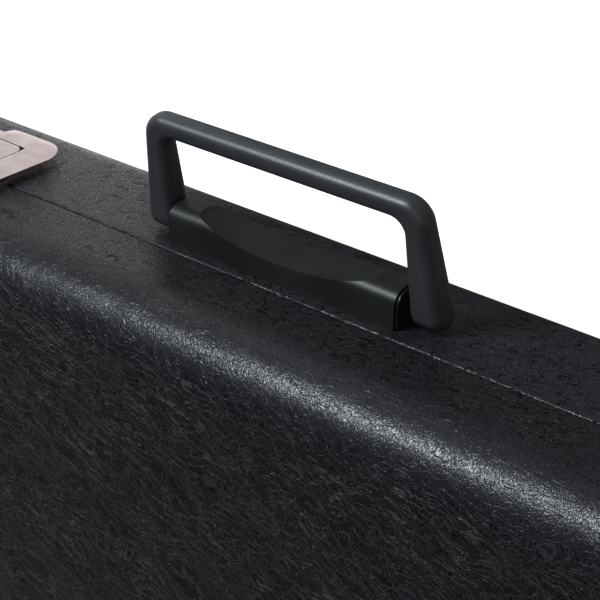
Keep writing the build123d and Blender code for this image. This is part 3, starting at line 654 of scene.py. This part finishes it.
def add_knuckle(shape, x):
    """Tube by the latch pin, centred nearer the case than the pin's axis, and its web to the plate."""
    middle = Vector((x, FRONT_Y - KNUCKLE_RADIUS, PIN_HEIGHT_Z))
    wall = KNUCKLE_RADIUS - KNUCKLE_BORE
    inside = middle - Vector((0, KNUCKLE_BORE, 0))
    corners = [(-KNUCKLE_HALF, 0), (KNUCKLE_HALF, 0), (KNUCKLE_HALF, wall), (-KNUCKLE_HALF, wall)]
    section = rounded_outline(shape, corners, lambda across, out: inside + Vector((across, -out, 0)),
                              KNUCKLE_EDGE_ROUND, 2)
    loop = section.verts[:] + section.edges[:]
    bmesh.ops.delete(shape, geom=[section], context="FACES_ONLY")
    bmesh.ops.spin(shape, geom=loop, cent=middle, axis=(1, 0, 0), angle=2 * math.pi, steps=KNUCKLE_STEPS,
                   use_merge=True, use_duplicate=False)
    low = HASP_HIGH - WEB_OVERLAP
    high = PIN_HEIGHT_Z - KNUCKLE_BORE
    web_middle = (x, FRONT_Y - HASP_UNDERSIDE - WEB_INSET, (low + high) / 2)
    add_eased_block(shape, (2 * KNUCKLE_HALF, WEB_THICKNESS, high - low), web_middle, WEB_EDGE_ROUND)


# Button: a pad in the hasp's window with a stem under it
BUTTON_GAP = 0.6 * MM
BUTTON_HALF_X = WINDOW_HALF - BUTTON_GAP
BUTTON_HALF_Z = WINDOW_HALF_HEIGHT - BUTTON_GAP
BUTTON_CORNER = 4 * MM
BUTTON_UNDERSIDE = 4.8 * MM
BUTTON_EDGE_RISE = 0.3 * MM
BUTTON_CROWN = 0.85 * MM
BUTTON_SINK = 0.25 * MM
BUTTON_LEAST_RISE = 0.18 * MM
# Share of the crown that is gone at the long sides
BUTTON_SIDE_FALL = 0.6
BUTTON_RIM_ROUND = 0.08 * MM
BUTTON_COLUMNS = 36
BUTTON_ROWS = 18
STEM_LOW = 1.75 * MM
STEM_HIGH = BUTTON_UNDERSIDE + 0.1 * MM
STEM_WIDTH = 8 * MM
STEM_HEIGHT = 4 * MM
STEM_EDGE_ROUND = 0.3 * MM


def button_place(across, height):
    """Point of the pad's rounded and bowed outline, drawn in towards the middle by its share of the way."""
    reach = max(abs(across), abs(height), SAME_PLACE)
    edge = Vector((across / reach * BUTTON_HALF_X, height / reach * BUTTON_HALF_Z))
    inner_x, inner_z = BUTTON_HALF_X - BUTTON_CORNER, BUTTON_HALF_Z - BUTTON_CORNER
    inner = Vector((max(-inner_x, min(inner_x, edge.x)), max(-inner_z, min(inner_z, edge.y))))
    edge = inner + drawn_to_arc(edge - inner, BUTTON_CORNER)
    bow_x = 1 + WINDOW_END_BOW / BUTTON_HALF_X * (1 - (height / reach) ** 2)
    bow_z = 1 + WINDOW_BOW / BUTTON_HALF_Z * (1 - (across / reach) ** 2)
    return Vector((edge.x * bow_x, edge.y * bow_z)) * reach, reach


def make_button(word, x):
    """Lens-shaped pad, sunk on the side of the thumb notch, with a stem under it."""
    shape = bmesh.new()
    bmesh.ops.create_grid(shape, x_segments=BUTTON_COLUMNS, y_segments=BUTTON_ROWS, size=1.0)
    span = max(vert.co.x for vert in shape.verts)
    for vert in shape.verts:
        across, height = vert.co.x / span, vert.co.y / span
        spot, reach = button_place(across, height)
        crown = BUTTON_CROWN * (1 - across ** 2) * (1 - BUTTON_SIDE_FALL * height ** 2)
        rise = BUTTON_EDGE_RISE + crown - BUTTON_SINK * (1 - height) * reach
        out = BUTTON_UNDERSIDE + max(BUTTON_LEAST_RISE, rise)
        vert.co = Vector((x + spot.x, FRONT_Y - out, WINDOW_Z + spot.y))
    for vert in new_verts(bmesh.ops.extrude_face_region(shape, geom=shape.faces[:])):
        vert.co.y = FRONT_Y - BUTTON_UNDERSIDE
    ease_rims(shape, BUTTON_RIM_ROUND, 2)
    stem_middle = (x, FRONT_Y - (STEM_LOW + STEM_HIGH) / 2, WINDOW_Z)
    add_eased_block(shape, (STEM_WIDTH, STEM_HIGH - STEM_LOW, STEM_HEIGHT), stem_middle, STEM_EDGE_ROUND)
    finish_piece(f"button_pad_{word}", shape, f"button_{word}", "nickel", [f"latch_button_{word}"], 60)


# Soft inside of the case: skins drawn through rounded rectangles, one above the other
PLAN_CORNER = 30 * MM
LEAST_ROUND = 0.6 * MM
RING_SEGMENTS = 6


def quarter(count):
    """Angles of a quarter turn from 0, in equal steps."""
    return [math.pi / 2 * i / count for i in range(count + 1)]


def ring(shape, middle, half_x, half_y, radius, z):
    return rounded_outline(shape, rectangle(half_x, half_y),
                           lambda a, b: Vector((middle[0] + a, middle[1] + b, z)), radius, RING_SEGMENTS)


def bridge(shape, faces):
    """Joins each ring to the next, and returns the rings' loops of edges."""
    loops = [face.edges[:] for face in faces]
    for first, second in zip(loops, loops[1:]):
        bmesh.ops.bridge_loops(shape, edges=first + second)
    return loops


def skin(shape, middle, half_x, half_y, radius, steps, open_start=False, open_end=False):
    """Skin through steps of (inset, z); the first and last rectangle close it unless they stay open."""
    faces = [
        ring(shape, middle, half_x - inset, half_y - inset, max(LEAST_ROUND, radius - inset), z)
        for inset, z in steps
    ]
    loops = bridge(shape, faces)
    drop = faces[1:-1] + ([faces[0]] if open_start else []) + ([faces[-1]] if open_end else [])
    bmesh.ops.delete(shape, geom=drop, context="FACES_ONLY")
    return loops


def plan(low, high):
    """Middle and half sizes of a box in plan."""
    middle = ((low.x + high.x) / 2, (low.y + high.y) / 2)
    return middle, (high.x - low.x) / 2, (high.y - low.y) / 2


def make_lid_lining():
    """Thin plush shell inside the lid, open at the bottom, with a rolled lower edge."""
    low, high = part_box("lid_lining")
    wall = 5.2 * MM
    outer_round = 16.8 * MM
    inner_round = 15.3 * MM
    thickness = 1.5 * MM
    inside = wall + thickness
    steps = [
        (wall + outer_round * (1 - math.cos(a)), high.z - outer_round * (1 - math.sin(a)))
        for a in reversed(quarter(8))
    ]
    steps += [
        (wall, low.z + 0.6 * MM),
        (wall + 0.3 * MM, low.z + 0.1 * MM),
        (inside - 0.5 * MM, low.z),
        (inside, low.z + 0.6 * MM),
    ]
    steps += [
        (inside + inner_round * (1 - math.cos(a)), high.z - thickness - inner_round * (1 - math.sin(a)))
        for a in quarter(8)
    ]
    shape = bmesh.new()
    skin(shape, (0, 0), HALF_X, HALF_Y, PLAN_CORNER, steps)
    piece = finish_piece("lid_lining_plush", shape, "case_lid", "plush", ["lid_lining"], 50)


# The lid pad's crown: how far in from its edge, and how far down its thickness
PAD_EDGE = 22.2 * MM
PAD_CROWN = (
    (0 * MM, 0.25), (0.5 * MM, 0.45), (2 * MM, 0.62), (5 * MM, 0.74),
    (11 * MM, 0.84), (24 * MM, 0.93), (45 * MM, 0.98), (70 * MM, 1.0),
)


def make_lid_pad():
    """Foam pad under the lid's roof, crowned downwards."""
    low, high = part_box("lid_pad")
    depth = high.z - low.z
    steps = [(PAD_EDGE, high.z)]
    steps += [(PAD_EDGE + inset, high.z - share * depth) for inset, share in PAD_CROWN]
    shape = bmesh.new()
    skin(shape, (0, 0), HALF_X, HALF_Y, PLAN_CORNER, steps)
    piece = finish_piece("lid_pad_plush", shape, "case_lid", "plush", ["lid_pad"], 50)


# Channels of the insert: the middle in X and Y and the half sizes of each
CHANNELS = (
    (0.0, -76 * MM, 244 * MM, 27 * MM),
    (0.0, -8 * MM, 244 * MM, 27 * MM),
    (-142 * MM, 66 * MM, 102 * MM, 33 * MM),
)
CHANNEL_FLOOR = 10 * MM
CHANNEL_END_INSET = 4 * MM
LIP = 2.5 * MM
POCKET_LIP = 0.4 * LIP
POCKET_GAP = 0.3 * MM
POCKET_CORNER = 1.5 * MM


def channel_skin(shape, middle, half_x, half_y, top):
    """Trough whose long sides draw in to a half-round floor, while its ends stay nearly upright."""
    floor_start = CHANNEL_FLOOR + half_y
    steps = [(-LIP * (1 - math.sin(a)), top - LIP * (1 - math.cos(a))) for a in quarter(5)]
    steps.append((0.0, floor_start))
    steps += [(half_y * (1 - math.cos(a)), floor_start - half_y * math.sin(a)) for a in quarter(10)[1:-1]]
    faces = []
    for inset, z in steps:
        across = half_y - inset
        corner = max(0.8 * MM, min(6 * MM, across * 0.6))
        faces.append(ring(shape, middle, half_x - min(inset, CHANNEL_END_INSET), across, corner, z))
    loops = bridge(shape, faces)
    bmesh.ops.delete(shape, geom=faces[:-1], context="FACES_ONLY")
    return loops[0]


def make_base_insert():
    """Foam block under plush: rounded outside, three channels and the tray's pocket, joined by its top."""
    low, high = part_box("base_insert")
    edge = 5.9 * MM
    bottom_round = 13.5 * MM
    top = high.z
    steps = [
        (edge + bottom_round * (1 - math.sin(a)), low.z + bottom_round * (1 - math.cos(a)))
        for a in quarter(6)
    ]
    steps += [(edge + LIP * (1 - math.cos(a)), top - LIP + LIP * math.sin(a)) for a in quarter(5)]
    shape = bmesh.new()
    rim = list(skin(shape, (0, 0), HALF_X, HALF_Y, PLAN_CORNER, steps, open_end=True)[-1])
    for x, y, half_x, half_y in CHANNELS:
        rim += channel_skin(shape, (x, y), half_x, half_y, top)
    pocket_low, pocket_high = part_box("compartment_tray")
    middle, half_x, half_y = plan(pocket_low, pocket_high)
    steps = [(-POCKET_LIP * (1 - math.sin(a)), top - POCKET_LIP * (1 - math.cos(a))) for a in quarter(4)]
    steps.append((0.0, pocket_low.z))
    rim += skin(shape, middle, half_x + POCKET_GAP, half_y + POCKET_GAP, POCKET_CORNER, steps,
                open_start=True)[0]
    rim = [e for e in rim if e.is_valid]
    bmesh.ops.triangle_fill(shape, edges=rim, use_beauty=True, use_dissolve=False)
    piece = finish_piece("base_insert_plush", shape, "case_base", "plush", ["base_insert"], 50)


TRAY_WALL = 2.5 * MM
TRAY_CORNER = 1.6 * MM
SHELF_PLACE = 30.25 * MM
SHELF_HALF = 1.25 * MM
SHELF_CORNER = 0.7 * MM
SHELF_OVERLAP = 0.2 * MM


def make_tray():
    """Open tray with soft rims, and the low divider that the flap closes on."""
    low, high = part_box("compartment_tray")
    middle, half_x, half_y = plan(low, high)
    floor = low.z + TRAY_WALL
    steps = [
        (0.6 * MM, low.z),
        (0.0, low.z + 0.6 * MM),
        (0.0, high.z - 1.0 * MM),
        (0.3 * MM, high.z - 0.3 * MM),
        (1.0 * MM, high.z - 0.05 * MM),
        (TRAY_WALL - 1.0 * MM, high.z),
        (TRAY_WALL - 0.3 * MM, high.z - 0.3 * MM),
        (TRAY_WALL, high.z - 1.0 * MM),
        (TRAY_WALL, floor + 1.5 * MM),
        (TRAY_WALL + 0.45 * MM, floor + 0.45 * MM),
        (TRAY_WALL + 1.5 * MM, floor),
    ]
    shape = bmesh.new()
    skin(shape, middle, half_x, half_y, TRAY_CORNER, steps)
    shelf_middle = (middle[0], low.y + TRAY_WALL + SHELF_PLACE)
    shelf_steps = [
        (0.0, low.z + 2 * MM),
        (0.0, high.z - 4.6 * MM),
        (0.35 * MM, high.z - 3.9 * MM),
        (1.0 * MM, high.z - 3.6 * MM),
    ]
    skin(shape, shelf_middle, half_x - TRAY_WALL + SHELF_OVERLAP, SHELF_HALF, SHELF_CORNER, shelf_steps)
    piece = finish_piece("compartment_tray_plush", shape, "case_base", "plush", ["compartment_tray"], 50)


FLAP_CORNER = 1.5 * MM
TAB_CORNER = 3.0 * MM


def make_flap():
    """Flap of the tray with softly rounded edges."""
    low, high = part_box("compartment_flap")
    middle, half_x, half_y = plan(low, high)
    steps = [
        (3.2 * MM, low.z),
        (1.2 * MM, low.z + 0.1 * MM),
        (0.4 * MM, low.z + 0.6 * MM),
        (0.0, low.z + 1.6 * MM),
        (0.4 * MM, high.z - 0.6 * MM),
        (1.2 * MM, high.z - 0.2 * MM),
        (4 * MM, high.z),
    ]
    shape = bmesh.new()
    skin(shape, middle, half_x, half_y, FLAP_CORNER, steps)
    piece = finish_piece("compartment_flap_plush", shape, "flap", "plush", ["compartment_flap"], 50)


def make_pull_tab():
    low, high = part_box("flap_tab")
    middle, half_x, half_y = plan(low, high)
    steps = [(0.0, low.z), (0.0, high.z - 0.3 * MM), (0.3 * MM, high.z)]
    shape = bmesh.new()
    skin(shape, middle, half_x, half_y, TAB_CORNER, steps)
    finish_piece("flap_pull_tab", shape, "flap", "leatherette", ["flap_tab"], 40)


# Studio: a white floor, soft lamps and a white world for the camera
FLOOR_HALF = 3.0
FLOOR_GREY = (0.6, 0.6, 0.6, 1)
FLOOR_GREY_IN_GLOSS = (0.11, 0.11, 0.11, 1)
FLOOR_CAMERA_GLOW = 0.75
SIDE_GLOW = 0.58
CLOSE_GLOW = 0.42
WORLD_SOFT = 0.5
WORLD_IN_GLOSS_LOW = 0.5
WORLD_IN_GLOSS_HIGH = 0.02


def area_light(name, place, target, size, power, colour=(1, 1, 1)):
    data = bpy.data.lights.new(name, "AREA")
    data.color = colour
    data.shape = "RECTANGLE"
    data.size, data.size_y = size
    data.energy = power
    lamp = bpy.data.objects.new(name, data)
    lamp.location = place
    direction = Vector(target) - Vector(place)
    lamp.rotation_euler = direction.to_track_quat("-Z", "Y").to_euler()
    bpy.context.scene.collection.objects.link(lamp)


def floor_material():
    """White to the camera. In gloss it is dark, but its +X side glows, and more from the case's front back."""
    material, tree, shader = new_material("floor_white", {"Roughness": 0.8, "Emission Color": (1, 1, 1, 1)})
    path = add(tree, "ShaderNodeLightPath").outputs
    parts = split(tree, add(tree, "ShaderNodeTexCoord").outputs["Object"])
    tint = mixed(tree, "RGBA", path["Is Glossy Ray"], FLOOR_GREY, FLOOR_GREY_IN_GLOSS)
    tree.links.new(tint, shader.inputs["Base Color"])
    side = band(tree, parts["X"], low=0.07, high=0.15, out_high=SIDE_GLOW)
    close = band(tree, parts["Y"], low=-0.142, high=-0.132, out_high=CLOSE_GLOW)
    bright = math_node(tree, "MULTIPLY", close, band(tree, parts["X"], low=0.1, high=0.14))
    for_gloss = math_node(tree, "MULTIPLY", path["Is Glossy Ray"], math_node(tree, "ADD", side, bright))
    for_camera = math_node(tree, "MULTIPLY", path["Is Camera Ray"], FLOOR_CAMERA_GLOW)
    tree.links.new(math_node(tree, "ADD", for_camera, for_gloss), shader.inputs["Emission Strength"])
    return material


def make_floor():
    shape = bmesh.new()
    bmesh.ops.create_grid(shape, x_segments=1, y_segments=1, size=FLOOR_HALF)
    mesh = bpy.data.meshes.new("floor")
    shape.to_mesh(mesh)
    shape.free()
    floor = bpy.data.objects.new("floor", mesh)
    bpy.context.scene.collection.objects.link(floor)
    mesh.materials.append(floor_material())


def make_world():
    """White to the camera, softer on the case, and dim overhead in gloss."""
    world = bpy.data.worlds.new("studio")
    world.use_nodes = True
    bpy.context.scene.world = world
    tree = world.node_tree
    surface = tree.nodes["Background"]
    surface.inputs["Color"].default_value = (1, 1, 1, 1)
    path = add(tree, "ShaderNodeLightPath").outputs
    parts = split(tree, add(tree, "ShaderNodeTexCoord").outputs["Generated"])
    in_gloss = band(tree, parts["Z"], 0.0, 0.35, WORLD_IN_GLOSS_LOW, WORLD_IN_GLOSS_HIGH)
    other = mixed(tree, "FLOAT", path["Is Glossy Ray"], WORLD_SOFT, in_gloss)
    strength = mixed(tree, "FLOAT", path["Is Camera Ray"], other, 1.0)
    tree.links.new(strength, surface.inputs["Strength"])


dress_nodes()
for word in ("left", "right"):
    latch_x = JOINTS[f"latch_swing_{word}"]["pos_m"][0]
    make_hasp(word, latch_x)
    make_button(word, latch_x)
make_lid_lining()
make_lid_pad()
make_base_insert()
make_tray()
make_flap()
make_pull_tab()
make_floor()
make_world()
area_light("key", (0.66, -1.25, 1.05), (-0.05, -0.11, 0.09), size=(0.6, 0.5), power=36, colour=(0.9, 0.98, 1))
area_light("fill", (-1.2, -0.6, 1.6), (0, 0, 0.05), size=(1.2, 1.2), power=3)
make_camera()
bpy.context.scene.view_settings.view_transform = "Standard"
